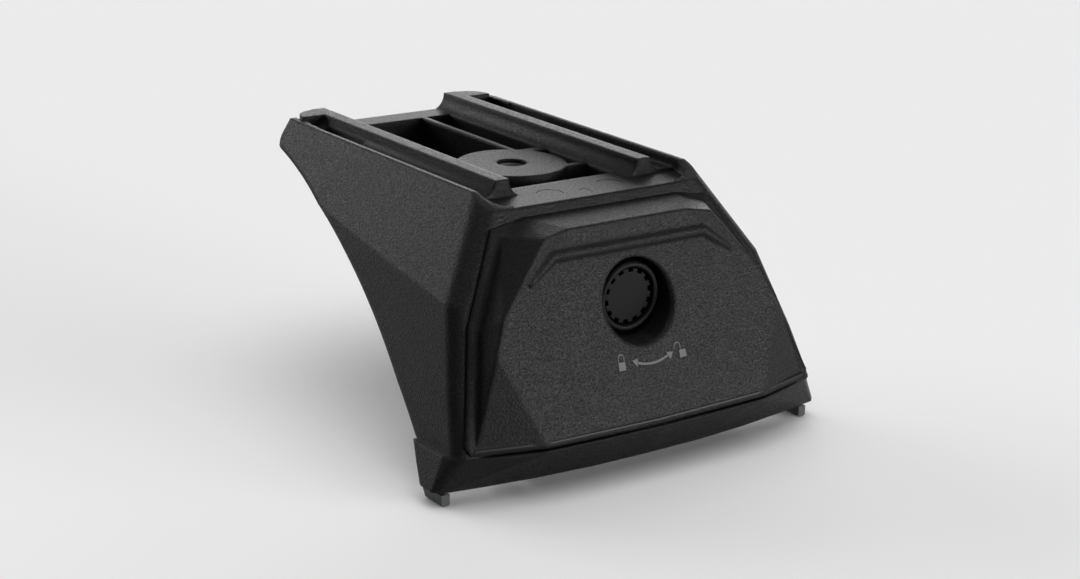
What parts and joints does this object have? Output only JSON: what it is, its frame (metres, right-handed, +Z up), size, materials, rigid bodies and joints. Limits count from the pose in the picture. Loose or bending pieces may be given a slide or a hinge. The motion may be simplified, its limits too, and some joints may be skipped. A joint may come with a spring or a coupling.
{
  "type": "roof bar foot",
  "caption": "Lockable moulded foot that carries a roof bar between two rails, with a flared hollow leg, raised front cover, turning lock barrel and base bracket.",
  "frame": {"origin": "on the axis of the bar bolt hole, level with the top of the deck", "axes": "+X to the right along the lock face seen from the front, +Y to the rear along the two rails, +Z up out of the deck"},
  "size_m": [0.1334, 0.1476, 0.077],
  "materials": {
    "housing": "fine spark-eroded satin, glass-filled nylon",
    "cover": "fine spark-eroded satin, glass-filled nylon",
    "lock_black": "black satin, die-cast zinc",
    "plug": "satin moulded acetal",
    "seal": "matt nitrile rubber",
    "pad": "matt moulded rubber",
    "bracket": "black powder coat",
    "zinc_steel": "bright zinc plate",
    "spring_steel": "oiled spring steel",
    "brass": "turned brass"
  },
  "bodies": {
    "leg": {"housing": "housing", "bolt_bush": "zinc_steel", "front_cover": "cover", "sleeve_seal": "seal", "spring_washer": "spring_steel", "base_bracket": "bracket", "bracket_screw_left": "zinc_steel", "bracket_screw_right": "zinc_steel", "bracket_washer_left": "zinc_steel", "bracket_washer_right": "zinc_steel", "insert_left": "brass", "insert_right": "brass", "base_pad": "pad"},
    "lock": {"lock_sleeve": "lock_black", "sleeve_clip": "spring_steel", "lock_cam": "zinc_steel", "cam_screw": "zinc_steel", "cam_washer": "zinc_steel"},
    "plug": {"lock_plug": "plug", "plug_seal": "seal"}
  },
  "joints": [
    {"name": "lock_turn", "type": "hinge", "parent": "leg", "child": "lock", "pos_m": [0, -0.055, -0.0254], "axis": [0, -1, 0], "range_deg": [0, 90]},
    {"name": "plug_pull", "type": "slide", "parent": "lock", "child": "plug", "axis": [0, -1, 0], "range_m": [0, 0.016]}
  ]
}
